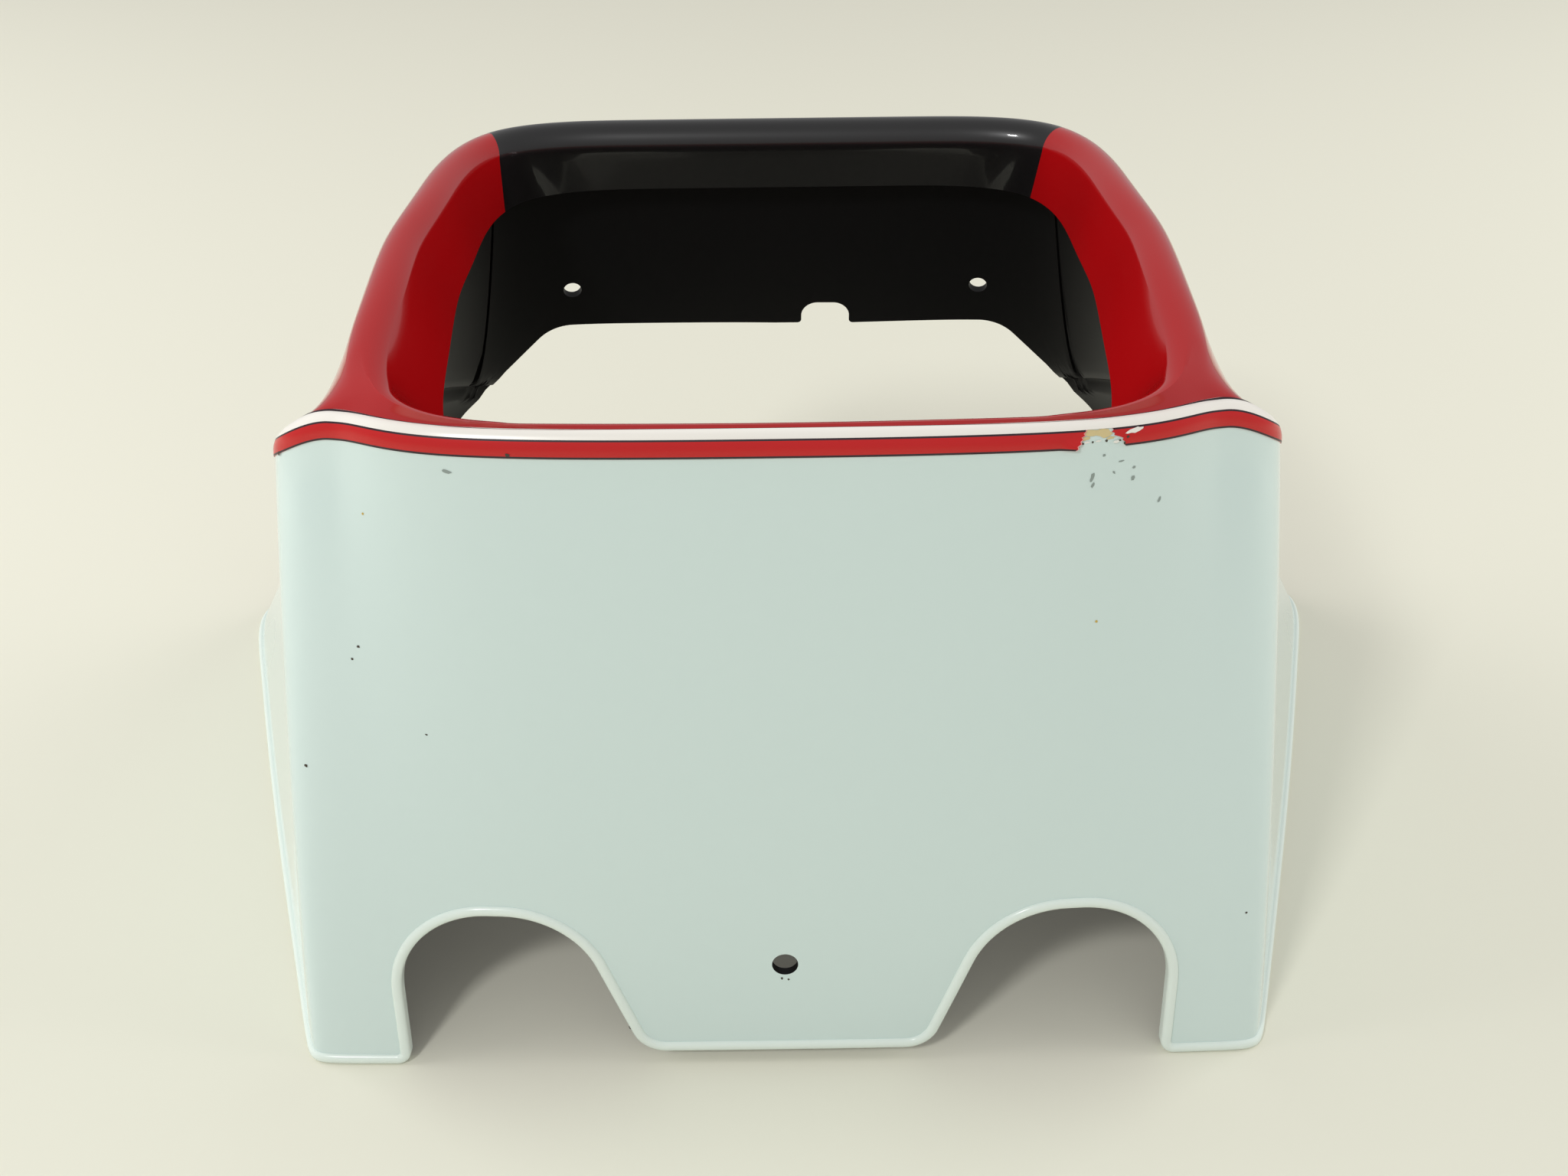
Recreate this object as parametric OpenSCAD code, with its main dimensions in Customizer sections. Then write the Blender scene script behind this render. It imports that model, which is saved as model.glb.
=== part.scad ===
// Motorcycle front fairing: one moulded shell round a rectangular headlight, with two trim tapes.
// It stands on its free edge with the headlight opening up and the front panel towards -Y.
// All lengths are millimetres. The origin is the middle of the footprint, on the floor.

/* [Free edge on the floor] */
// Width across the two front legs
base_front_width = 300; // [280:2:320]
// Width across the rear corners, as if they were sharp
base_rear_width = 462; // [430:2:490]
// Depth from the front panel to the rear edge
base_depth = 264; // [250:2:280]
// Rounding of the front corners
base_front_corner = 9; // [6:1:16]
// Rounding of the rear corners
base_rear_corner = 46; // [30:1:60]

/* [Shoulder] */
// Width of the shoulder behind the front panel
shoulder_front_width = 280; // [264:2:292]
// Width of the shoulder at the rear, as if its corners were sharp
shoulder_rear_width = 256; // [240:2:270]
// Setback of the shoulder's front behind the foot of the panel
shoulder_setback = 31; // [26:1:38]
// Depth of the shoulder from its front to its rear edge
shoulder_depth = 213; // [204:1:222]
// Height of the shoulder above the floor at the front
shoulder_height = 209; // [196:1:216]
// Fall of the shoulder towards the rear, per unit of depth
shoulder_fall = 0.42; // [0.34:0.01:0.46]
// Extra fall where the shoulder turns the front corner
shoulder_corner_fall = 8; // [4:0.5:10]
// Forward bow of the shoulder's front
shoulder_bow = 22; // [16:1:28]
// Width of the round below the shoulder
shoulder_round_width = 5; // [3.5:0.5:7]
// Height of the round below the shoulder
shoulder_round_height = 8; // [6:0.5:11]

/* [Rim round the headlight] */
// Width of the rim at the front, along its crest
rim_front_width = 226; // [214:2:234]
// Width of the rim at the rear, as if its corners were sharp
rim_rear_width = 208; // [196:2:220]
// Depth of the rim from front crest to rear crest
rim_depth = 160; // [152:1:168]
// Height of the rim's crest at the rear
rim_height = 237.5; // [230:0.5:246]
// Forward bow of the rim's front
rim_bow = 12; // [8:1:16]
// Radius of the rolled crest
rim_round = 5.5; // [4.5:0.5:7]

/* [Flange inside the rim] */
// Width between the flange's free edges
flange_width = 182; // [172:2:190]
// Drop from the crest to the flange's free edge
flange_drop = 24; // [16:1:30]

/* [Wall and lip] */
// Thickness of the moulded wall
wall = 3; // [2.5:0.1:3.5]
// Width of the raised lip along the free edge
lip_width = 3.4; // [2.6:0.2:4.4]
// Height of the raised lip above the wall
lip_height = 1.2; // [0.6:0.1:1.8]
// Inward bow of the sides and the panel between shoulder and floor
wall_belly = 0.18; // [0:0.02:0.3]

/* [Front cut-outs] */
// Width of the tongue between the cut-outs
tongue_width = 84; // [76:2:92]
// Gap under the tongue
tongue_gap = 5.7; // [4.5:0.1:8]
// Rounding of the tongue's corners
tongue_round = 14; // [10:1:18]
// Height of the cut-outs above the floor
arch_height = 56; // [52:1:62]
// Radius of the top of the cut-outs
arch_round = 29; // [26:1:31]
// Distance between the inner sides of the two legs
leg_gap = 238; // [232:1:244]
// Slope of the tongue's sides, in degrees from upright
tongue_flare = 21; // [15:1:26]
// Rounding at the foot of each leg's inner side
leg_round = 4.5; // [4.5:0.5:7]

/* [Rear cut-out] */
// Width of the cut-out at the floor
rear_foot_width = 330; // [310:5:345]
// Width of the straight upper edge of the cut-out, as if its ends were sharp
rear_edge_width = 164; // [152:2:172]
// Height of that edge above the floor
rear_edge_height = 150; // [144:1:156]
// Width of the notch in that edge
notch_width = 17.6; // [14:0.2:22]
// Depth of the notch
notch_depth = 10; // [7:0.5:12]
// Distance of the notch from the middle plane
notch_offset = 18.3; // [14:0.1:24]

/* [Holes] */
// Diameter of the hole in the tongue
tongue_hole = 8; // [6:0.5:10]
// Height of the hole in the tongue
tongue_hole_height = 37; // [32:0.5:44]
// Diameter of the two holes in the rear wall
rear_hole = 6.4; // [5:0.2:8]
// Distance between those two holes
rear_hole_spacing = 147; // [138:1:152]
// Height of those two holes
rear_hole_height = 170; // [166:1:176]

/* [Trim tape] */
// Thickness of the tape
tape = 0.3; // [0.2:0.1:0.5]

/* [Hidden] */

// Ring stations. Every ring is a closed smooth curve steered by 18 plan points. The right half
// runs from the front centre (station 0) past +X to the rear centre (station 9).
half_stations = 9;
stations = 2 * half_stations;

function mirrored(half) =
    concat(half, [for (i = [half_stations - 1:-1:1]) [-half[i][0], half[i][1]]]);

// Four-sided ring with bowed front, bowed sides and rounded corners
function ring(front_half, rear_half, front_y, rear_y, bow, front_corner, rear_corner, side_bow, rear_bow) =
    let (corner_y = front_y + bow,
         rear_corner_y = rear_y - rear_bow,
         run = [rear_half - front_half, rear_corner_y - corner_y],
         along = run / norm(run),
         out = [along[1], -along[0]],
         middle = [front_half, corner_y] + run / 2 + out * side_bow)
    mirrored([
        [0, front_y],
        [front_half * 0.42, front_y + bow * 0.16],
        [front_half - front_corner, corner_y - bow * 0.36],
        [front_half, corner_y],
        [front_half, corner_y] + along * front_corner,
        middle,
        [rear_half, rear_corner_y] - along * rear_corner,
        [rear_half, rear_corner_y],
        [rear_half - rear_corner, rear_y - rear_bow * 0.4],
        [0, rear_y]
    ]);

// Uniform cubic spline round the ring's plan points
function on_ring(points, station) =
    let (s = station - stations * floor(station / stations),
         i = floor(s),
         t = s - i,
         p = [for (k = [-1:2]) points[(i + k + stations) % stations]])
    (pow(1 - t, 3) * p[0] + (3 * pow(t, 3) - 6 * t * t + 4) * p[1]
        + (3 * t + 3 * t * t - 3 * pow(t, 3) + 1) * p[2] + pow(t, 3) * p[3]) / 6;

function across_ring(points, station) =
    let (step = 0.02,
         d = on_ring(points, station + step) - on_ring(points, station - step))
    [d[1], -d[0]] / norm(d);

front_foot_y = 0;
shoulder_front_y = front_foot_y + shoulder_setback;
shoulder_rear_y = shoulder_front_y + shoulder_depth;
rim_front_y = shoulder_front_y + 1;
rim_rear_y = rim_front_y + rim_depth;
flange_front_y = rim_front_y + 9;

base_ring = ring(base_front_width / 2, base_rear_width / 2, front_foot_y, front_foot_y + base_depth,
                 2, base_front_corner, base_rear_corner, 2, 4);
shoulder_ring = ring(shoulder_front_width / 2, shoulder_rear_width / 2, shoulder_front_y,
                     shoulder_rear_y, shoulder_bow, 22, 60, 5, 14);
rim_ring = ring(rim_front_width / 2, rim_rear_width / 2, rim_front_y, rim_rear_y, rim_bow, 30, 46, 9, 0);
flange_ring = ring(flange_width / 2, flange_width / 2, flange_front_y, rim_rear_y - 1, 10, 22, 40, 7, 0);

// Heights: the rim climbs to the rear, the shoulder falls to the rear
rim_front_height = shoulder_height + 0.6;
function rim_z(y) =
    let (back = (rim_rear_y - y) / rim_depth)
    rim_height - (rim_height - rim_front_height) * back * back;

corner_start = 0.82;
function shoulder_z(p) =
    let (back = p[1] - shoulder_front_y - 13,
         soft = (back + norm([back, 8])) / 2,
         turn = max(0, min(1, (2 * abs(p[0]) / shoulder_front_width - corner_start) / (1 - corner_start))))
    shoulder_height - shoulder_fall * soft - shoulder_corner_fall * turn * turn * (3 - 2 * turn);

// The section at a station, by level: 0 floor, 1 foot of the shoulder round, 2 shoulder edge,
// 3 crest of the rim, 4 free edge of the flange.
function shoulder_foot(station) =
    let (s = on_ring(shoulder_ring, station),
         p = s + across_ring(shoulder_ring, station) * shoulder_round_width)
    [p[0], p[1], shoulder_z(s) - shoulder_round_height];

function wall_point(station, t) =
    let (foot = shoulder_foot(station),
         floor_point = on_ring(base_ring, station),
         bowed = t - wall_belly * t * (1 - t),
         plan = [foot[0], foot[1]] * bowed + floor_point * (1 - bowed))
    [plan[0], plan[1], foot[2] * t];

function round_point(station, t) =
    let (s = on_ring(shoulder_ring, station),
         turn = 90 * (1 - t),
         p = s + across_ring(shoulder_ring, station) * shoulder_round_width * sin(turn))
    [p[0], p[1], shoulder_z(s) - shoulder_round_height * (1 - cos(turn))];

// The neck leaves the crest as a convex roll and meets the shoulder as a hollow quarter ellipse.
// It flattens to a plain slope where the shoulder runs up to the crest at the front.
roll_share = 0.3;
function neck_point(station, t) =
    let (c = on_ring(rim_ring, station),
         s = on_ring(shoulder_ring, station),
         top = rim_z(c[1]),
         low = shoulder_z(s),
         reach = norm(s - c),
         drop = top - low,
         r = min(rim_round, reach / 2, drop / 2),
         u = 1 - t,
         turn = u < roll_share ? 90 * u / roll_share : 90 * (u - roll_share) / (1 - roll_share),
         curve = u < roll_share
            ? [r * sin(turn), r * (1 - cos(turn))]
            : [r + (reach - r) * (1 - cos(turn)), r + (drop - r) * sin(turn)],
         depth = max(0, min(1, (drop - 4) / 24)),
         blend = depth * depth * (3 - 2 * depth),
         go = curve * blend + [reach, drop] * u * (1 - blend),
         p = c + (s - c) / reach * go[0])
    [p[0], p[1], top - go[1]];

// The flange rolls over the crest and runs straight to its free edge
function flange_point(station, t) =
    let (c = on_ring(rim_ring, station),
         f = on_ring(flange_ring, station),
         top = rim_z(c[1]),
         reach = norm(f - c),
         tangent = atan2(flange_drop - rim_round, reach) + asin(rim_round / norm([reach, flange_drop - rim_round])),
         start = [rim_round * sin(tangent), rim_round * (1 - cos(tangent))],
         go = t < 0.5
            ? [rim_round * sin(tangent * t * 2), rim_round * (1 - cos(tangent * t * 2))]
            : start + ([reach, flange_drop] - start) * (t - 0.5) * 2,
         p = c + (f - c) / reach * go[0])
    [p[0], p[1], top - go[1]];

function skin(station, level) =
    level <= 1 ? wall_point(station, level)
    : level <= 2 ? round_point(station, level - 1)
    : level <= 3 ? neck_point(station, level - 2)
    : flange_point(station, level - 3);

// Level at which the section reaches a height, up to the rolled crest
function level_at(station, z) =
    let (c = on_ring(rim_ring, station),
         s = on_ring(shoulder_ring, station),
         edge = shoulder_z(s),
         foot = edge - shoulder_round_height,
         roll_foot = rim_z(c[1]) - rim_round)
    z <= foot ? z / foot
    : z <= edge ? 2 - acos(1 - (edge - z) / shoulder_round_height) / 90
    : 3 - roll_share - (1 - roll_share) * asin(min(1, (roll_foot - z) / (roll_foot - edge))) / 90;

// Outward normal of the skin, from its own slopes
function skin_normal(station, level) =
    let (step = 0.02,
         low = max(0, level - step),
         high = min(4, level + step),
         n = cross(skin(station + step, level) - skin(station - step, level),
                   skin(station, high) - skin(station, low)))
    n / norm(n);

function point_at(station, z) = skin(station, level_at(station, z));

// Distance along the free edge on the floor, from the front centre, and the station there
base_samples = 12;
base_walk = [
    for (i = 0, walked = 0; i <= half_stations * base_samples;
         i = i + 1,
         walked = walked + norm(on_ring(base_ring, i / base_samples)
                                - on_ring(base_ring, (i - 1) / base_samples)))
    [walked, i / base_samples]
];
station_walk = [for (pair = base_walk) [pair[1], pair[0]]];

// Station of a point of the front panel or of the rear wall, from its distance x to the middle plane
function front_station(x, z) =
    lookup(x, [for (i = [0:40]) let (a = i * 0.085) [point_at(a, z)[0], a]]);
function rear_station(x, z) =
    lookup(x, [for (i = [0:40]) let (a = half_stations - i * 0.07) [point_at(a, z)[0], a]]);

// A path of corners [x, z, radius] with each corner rounded by an arc
coarse_turn = 30;
fine_turn = 13;
fine_radius = 20;
function rounded(path) = [
    for (i = [0:len(path) - 1])
        let (here = [path[i][0], path[i][1]], radius = path[i][2])
        if (radius == 0) here
        else
            let (before = [path[i - 1][0], path[i - 1][1]] - here,
                 after = [path[i + 1][0], path[i + 1][1]] - here,
                 a = before / norm(before),
                 b = after / norm(after),
                 half_angle = acos(a * b) / 2,
                 middle = here + (a + b) / norm(a + b) * radius / sin(half_angle),
                 from = here + a * radius / tan(half_angle) - middle,
                 to = here + b * radius / tan(half_angle) - middle,
                 sweep = 180 - 2 * half_angle,
                 steps = max(2, ceil(sweep / (radius < fine_radius ? coarse_turn : fine_turn))))
            for (k = [0:steps])
                middle + (from * sin(sweep * (1 - k / steps)) + to * sin(sweep * k / steps)) / sin(sweep)
];

// The same path with its straight runs cut into pieces no longer than a given length
function divided(path, longest) = concat([
    for (i = [0:len(path) - 2])
        let (pieces = max(1, ceil(norm(path[i + 1] - path[i]) / longest)))
        for (k = [0:pieces - 1]) path[i] + (path[i + 1] - path[i]) * k / pieces
], [path[len(path) - 1]]);

// Share of a path walked at each of its points. Upright runs count for less, so that the columns
// above a cut-out stay spread.
upright_weight = 0.25;
function shares(path) =
    let (walk = [for (i = 0, w = 0; i < len(path);
                      i = i + 1,
                      w = i < len(path)
                          ? w + norm([path[i][0] - path[i - 1][0],
                                      (path[i][1] - path[i - 1][1]) * upright_weight])
                          : w) w])
    walk / walk[len(walk) - 1];

// Free edge of one half, as columns [station at the edge, height of the edge, station above it,
// share of the lip]
tongue_half = tongue_width / 2;
leg_in = leg_gap / 2;
arch_in = tongue_half + (arch_height - tongue_gap) * tan(tongue_flare);
front_edge = divided(rounded([
    [0, tongue_gap, 0],
    [tongue_half, tongue_gap, tongue_round],
    [arch_in, arch_height, arch_round],
    [leg_in, arch_height, arch_round],
    [leg_in, 0, leg_round],
    [leg_in + leg_round + 1, 0, 0]
]), 16);

rear_foot = rear_foot_width / 2;
rear_side = [rear_foot - 22, 50];
rear_waist = [shoulder_rear_width / 2, 105];
rear_kink = [shoulder_rear_width / 2 - 23, 134];
notch_right = notch_offset + notch_width / 2;
notch_left = notch_offset - notch_width / 2;
notch_top = rear_edge_height + notch_depth;
function rear_edge(notched) = divided(rounded(concat([
    [rear_foot + 12, 0, 0],
    [rear_foot, 0, 8],
    [rear_side[0], rear_side[1], 60],
    [rear_waist[0], rear_waist[1], 50],
    [rear_kink[0], rear_kink[1], 14],
    [rear_edge_width / 2, rear_edge_height, 18]
], notched ? [
    [notch_right, rear_edge_height, 1.5],
    [notch_right, notch_top, 6],
    [notch_left, notch_top, 6],
    [notch_left, rear_edge_height, 1.5]
] : [], [
    [0, rear_edge_height, 0]
])), 30);

front_shares = shares(front_edge);
front_end = front_station(front_edge[len(front_edge) - 1][0], 0);
front_walk = lookup(front_end, station_walk);
function front_columns() = [
    for (i = [0:len(front_edge) - 1])
        [front_station(front_edge[i][0], front_edge[i][1]), front_edge[i][1],
         lookup(front_walk * front_shares[i], base_walk), 1]
];

lip_fade = 20;
bell_top = 6.3;
function rear_columns(notched) =
    let (edge = rear_edge(notched),
         part = shares(edge),
         kink_part = [for (i = [0:len(edge) - 1]) if (edge[i][1] > rear_kink[1] - 1) part[i]][0],
         spread = [[0, bell_top], [kink_part, rear_station(rear_kink[0], rear_kink[1])], [1, half_stations]])
    [for (i = [0:len(edge) - 1])
        [rear_station(edge[i][0], edge[i][1]), edge[i][1], lookup(part[i], spread),
         max(0, min(1, (edge[i][0] - rear_edge_width / 2) / lip_fade))]];

side_pieces = 18;
function side_columns(from, to) = [
    for (i = [1:side_pieces - 1])
        let (part = i / side_pieces)
        [from + (to - from) * part, 0, from + (bell_top - from) * part, 1]
];

function half_columns(notched) =
    let (rear = rear_columns(notched))
    concat(front_columns(), side_columns(front_end, rear[0][0]), rear);

function turned(columns) = [
    for (i = [len(columns) - 2:-1:1])
        [stations - columns[i][0], columns[i][1], stations - columns[i][2], columns[i][3]]
];
columns = concat(half_columns(true), turned(half_columns(false)));
count = len(columns);

// Grid of the skin. Above the shoulder's foot the rows follow the section's levels, below it they
// run to the free edge, and the last rows cross the lip at right angles to the edge.
upper_levels = [4, 3.5, 3.34, 3.17, 3, 2.9, 2.8, 2.7, 2.55, 2.4, 2.25, 2.12, 2, 1.75, 1.5, 1.25, 1];
wall_rows = 5;
lip_rows = [1, 0.85, 0.5, 0.15, 0];
bare_lip = 0.3;

function column_grid(k) =
    let (c = columns[k],
         above = columns[(k + 1) % count],
         below = columns[(k - 1 + count) % count],
         here = point_at(c[0], c[1]),
         // Inward direction in the skin at right angles to the edge, as steps of station and height
         run = point_at(above[0], above[1]) - point_at(below[0], below[1]),
         n = skin_normal(c[0], level_at(c[0], c[1])),
         inward = cross(n, run) / norm(cross(n, run)),
         da = (point_at(c[0] + 0.02, c[1]) - point_at(c[0] - 0.02, c[1])) / 0.04,
         dz = point_at(c[0], c[1] + 1) - here,
         aa = da * da, ab = da * dz, bb = dz * dz,
         det = aa * bb - ab * ab,
         step = [(bb * (inward * da) - ab * (inward * dz)) / det,
                 (aa * (inward * dz) - ab * (inward * da)) / det],
         reach = lip_width * max(bare_lip, c[3]),
         foot = shoulder_foot(c[2])[2],
         top_z = max(foot, min(c[1], rear_edge_height) + notch_depth + 6),
         top_level = top_z > foot ? level_at(c[2], top_z) : 1,
         lip_end = [c[0], c[1]] + step * reach,
         upper = [for (level = upper_levels)
             let (l = level > 3 ? level : 3 - (3 - level) * (3 - top_level) / 2)
             [c[2], l, 0]],
         wall_part = [for (i = [1:wall_rows - 1])
             let (p = [c[2], top_z] + (lip_end - [c[2], top_z]) * i / wall_rows)
             [p[0], level_at(p[0], p[1]), 0]],
         lip_part = [for (share = lip_rows)
             let (p = [c[0], c[1]] + step * reach * share,
                  rise = lip_height * c[3] * sqrt(max(0, 1 - pow(2 * share - 1, 2))))
             [p[0], max(0, level_at(p[0], max(0, p[1]))), rise]])
    [for (g = concat(upper, wall_part, lip_part))
        let (p = skin(g[0], g[1]), normal = skin_normal(g[0], g[1]))
        [p, normal, g[2]]];

grid = [for (k = [0:count - 1]) column_grid(k)];
rows = len(grid[0]);
function on_floor(p) = [p[0], p[1], max(0, p[2])];
function outer(k, j) = let (g = grid[k][j]) on_floor(g[0] + g[1] * g[2]);
function inner(k, j) = let (g = grid[k][j]) on_floor(g[0] - g[1] * wall);

all_y = [for (k = [0:count - 1], j = [0:rows - 1]) outer(k, j)[1]];
middle_y = (max(all_y) + min(all_y)) / 2;

// Triangles between two neighbouring lines of points, both of a given length
function strip(first, second, length, closed) = [
    for (i = [0:length - (closed ? 1 : 2)])
        let (n = (i + 1) % length)
        each [[first + i, second + i, second + n], [first + i, second + n, first + n]]
];

inner_rows = [0, 1, 3, 4, 6, 7, 9, 11, 12, 14, 16, 18, 21, rows - 1];
module shell_body() {
    outer_points = [for (j = [0:rows - 1], k = [0:count - 1]) outer(k, j)];
    inner_points = [for (j = inner_rows, k = [0:count - 1]) inner(k, j)];
    inner_start = rows * count;
    last = len(inner_rows) - 1;
    polyhedron(
        points = concat(outer_points, inner_points),
        faces = concat(
            [for (j = [0:rows - 2]) each strip((j + 1) * count, j * count, count, true)],
            [for (j = [0:last - 1])
                each strip(inner_start + j * count, inner_start + (j + 1) * count, count, true)],
            strip(0, inner_start, count, true),
            strip(inner_start + last * count, (rows - 1) * count, count, true)),
        convexity = 8);
}

// A drill that follows the wall's normal at a place of the skin
module drill(station, z, diameter) {
    n = skin_normal(station, level_at(station, z));
    translate(point_at(station, z))
        rotate([0, acos(n[2]), atan2(n[1], n[0])])
            cylinder(h = wall * 6, d = diameter, center = true, $fn = 32);
}

module fairing_shell() {
    rear_hole_station = rear_station(rear_hole_spacing / 2, rear_hole_height);
    color("whitesmoke")
        translate([0, -middle_y, 0])
            difference() {
                shell_body();
                drill(0, tongue_hole_height, tongue_hole);
                drill(rear_hole_station, rear_hole_height, rear_hole);
                drill(stations - rear_hole_station, rear_hole_height, rear_hole);
            }
}

// A tape lies on the skin between two rows, as far back on both sides as the shoulder goes
edge_row = 12;
middle_row = 14;
foot_row = 16;
taped = [for (k = [0:count - 1])
    if (shoulder_foot(columns[k][2])[2] > min(columns[k][1], rear_edge_height) + notch_depth + 6) k];
gap_at = [for (i = [0:len(taped) - 2]) if (taped[i + 1] > taped[i] + 1) i][0];
tape_columns = concat([for (i = [gap_at + 1:len(taped) - 1]) taped[i]], [for (i = [0:gap_at]) taped[i]]);

module tape_between(from_row, to_row) {
    length = len(tape_columns);
    lines = to_row - from_row + 1;
    top = [for (j = [from_row:to_row], k = tape_columns)
        let (g = grid[k][j]) g[0] + g[1] * tape];
    under = [for (j = [from_row:to_row], k = tape_columns) grid[k][j][0]];
    start = lines * length;
    translate([0, -middle_y, 0])
        polyhedron(
            points = concat(top, under),
            faces = concat(
                [for (j = [0:lines - 2]) each strip((j + 1) * length, j * length, length, false)],
                [for (j = [0:lines - 2])
                    each strip(start + j * length, start + (j + 1) * length, length, false)],
                strip(0, start, length, false),
                strip(start + (lines - 1) * length, (lines - 1) * length, length, false),
                [for (j = [0:lines - 2]) let (a = j * length, b = a + length)
                    each [[a, b, start + b], [a, start + b, start + a]]],
                [for (j = [0:lines - 2]) let (a = (j + 1) * length - 1, b = a + length)
                    each [[b, a, start + a], [b, start + a, start + b]]]),
            convexity = 8);
}

module white_stripe() {
    color("white") tape_between(edge_row, middle_row);
}

module red_stripe() {
    color("firebrick") tape_between(middle_row, foot_row);
}

fairing_shell();
white_stripe();
red_stripe();
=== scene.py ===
"""Looks of a motorcycle front fairing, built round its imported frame.

The moulded shell is drawn again with the formulas of the construction, on a much finer grid, so
that its rolled rim, its lip and its cut-outs are smooth. The trim tapes, their torn corner and the
wear are thin pieces on that skin. Lengths are millimetres in the construction's own coordinates,
until placed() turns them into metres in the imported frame.
"""
import math

import bpy
import numpy as np
from mathutils import Matrix, Vector


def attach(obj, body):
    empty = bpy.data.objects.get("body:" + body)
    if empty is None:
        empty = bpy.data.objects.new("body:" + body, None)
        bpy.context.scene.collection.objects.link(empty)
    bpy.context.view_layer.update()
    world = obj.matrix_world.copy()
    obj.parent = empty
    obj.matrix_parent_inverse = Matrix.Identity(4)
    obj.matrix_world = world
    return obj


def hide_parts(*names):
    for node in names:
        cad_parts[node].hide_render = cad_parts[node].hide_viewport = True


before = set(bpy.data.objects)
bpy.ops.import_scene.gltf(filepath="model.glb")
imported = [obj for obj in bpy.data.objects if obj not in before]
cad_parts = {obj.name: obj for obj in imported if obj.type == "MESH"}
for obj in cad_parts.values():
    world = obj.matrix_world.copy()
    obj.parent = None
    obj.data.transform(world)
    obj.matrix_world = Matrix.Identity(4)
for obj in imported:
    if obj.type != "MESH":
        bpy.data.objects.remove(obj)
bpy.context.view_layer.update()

# Stations run round the shell from the middle of the front, to the right first. HALF is the middle
# of the rear.
HALF, STATIONS = 9, 18

# Sizes of the shell. Where they differ from the construction's, they are a few millimetres nearer
# to the photograph.
BASE_FRONT_HALF, BASE_REAR_HALF, BASE_FRONT_Y, BASE_REAR_Y = 150.0, 230.4, 0.3, 263.93
SHOULDER_FRONT_HALF, SHOULDER_REAR_HALF, SHOULDER_DEPTH = 140.3, 127.7, 209.9
SHOULDER_FRONT_Y, SHOULDER_HEIGHT = 29.1, 211.8
SHOULDER_FALL, FALL_START, FALL_SOFTNESS = 0.434, 12.5, 8.0
ROUND_WIDTH, ROUND_HEIGHT = 3.8, 6.7
RIM_FRONT_HALF, RIM_REAR_HALF, RIM_DEPTH = 115.4, 99.05, 162.6
RIM_FRONT_Y, RIM_HEIGHT, RIM_FRONT_HEIGHT, RIM_CLIMB = 29.8, 237.0, 211.9, 2.585
RIM_REAR_Y = RIM_FRONT_Y + RIM_DEPTH
RIM_ROUND, FRONT_ROLL, FULL_ROLL_RISE = 6.6, 0.5, 7.0
ROLL_SHARE, NECK_HOLLOW, STRAIGHT_DROP, CURVED_DROP = 0.3, 0.414, 4.0, 28.0
FLANGE_FRONT_HALF, FLANGE_REAR_HALF, FLANGE_FRONT_Y, FLANGE_REAR_Y = 95.4, 92.1, 36.45, 191.4
FLANGE_DROP = 23.1
WALL, LIP_WIDTH, LIP_HEIGHT, BELLY = 3.0, 3.4, 1.2, 0.3
TONGUE_HALF, TONGUE_GAP, TONGUE_ROUND, TONGUE_FLARE = 45.0, 4.8, 11.0, 20.5
ARCH_HEIGHT, ARCH_ROUND, LEG_IN, LEG_ROUND = 57.6, 29.0, 118.3, 4.5
REAR_FOOT, REAR_FOOT_ROUND = 165.0, 8.0
REAR_LEG, REAR_LEG_ROUND = (REAR_FOOT - 22, 50.0), 60.0
REAR_WAIST, REAR_WAIST_ROUND = (126.3, 108.0), 50.0
REAR_KINK, REAR_KINK_ROUND = (102.3, 136.0), 14.0
REAR_EDGE_HALF, REAR_EDGE_HEIGHT, EDGE_RISE, EDGE_ROUND = 82.4, 152.5, 2.6, 18.0
NOTCH_WIDTH, NOTCH_DEPTH, NOTCH_OFFSET = 17.6, 9.4, 18.3
NOTCH_ROUND, NOTCH_MOUTH_ROUND = 6.0, 1.5
TONGUE_HOLE, TONGUE_HOLE_HEIGHT = 8.0, 39.0
REAR_HOLE, REAR_HOLE_HALF, REAR_HOLE_HEIGHT = 6.4, 73.3, 170.5
TAPE = 0.3
MIDDLE_Y = 131.389

# How far the shoulder drops at the front corners, the stations where the drop comes, and the share
# of it that fades further back
CORNER_FALL, CORNER_START, CORNER_END = 10.5, 2.15, 3.65
CORNER_FADE, FADE_START, FADE_END = 0.5, 4.0, 7.0

# Share of the rear's bow that is still to come at the point beside a rear corner
REAR_BOW_LEFT = 0.4


def ring(front_half, rear_half, front_y, rear_y, bow, front_corner, rear_corner, side_bow, rear_bow, shape):
    """Control points, in plan, of one closed curve round the shell, from the middle of the front.

    The corner lengths say how far from a corner its neighbours lie. shape steers the bowed front:
    shares of the width and of the bow at the second point, and the share of the bow that is still
    to come at the third.
    """
    width_share, bow_share, bow_left = shape
    front = np.array([front_half, front_y + bow])
    rear = np.array([rear_half, rear_y - rear_bow])
    run = rear - front
    along = run / np.hypot(*run)
    out = np.array([along[1], -along[0]])
    right = np.array([
        [0, front_y],
        [front_half * width_share, front_y + bow * bow_share],
        [front_half - front_corner, front[1] - bow * bow_left],
        front,
        front + along * front_corner,
        front + run / 2 + out * side_bow,
        rear - along * rear_corner,
        rear,
        [rear_half - rear_corner, rear_y - rear_bow * REAR_BOW_LEFT],
        [0, rear_y],
    ])
    return np.vstack([right, right[-2:0:-1] * [-1, 1]])


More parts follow.
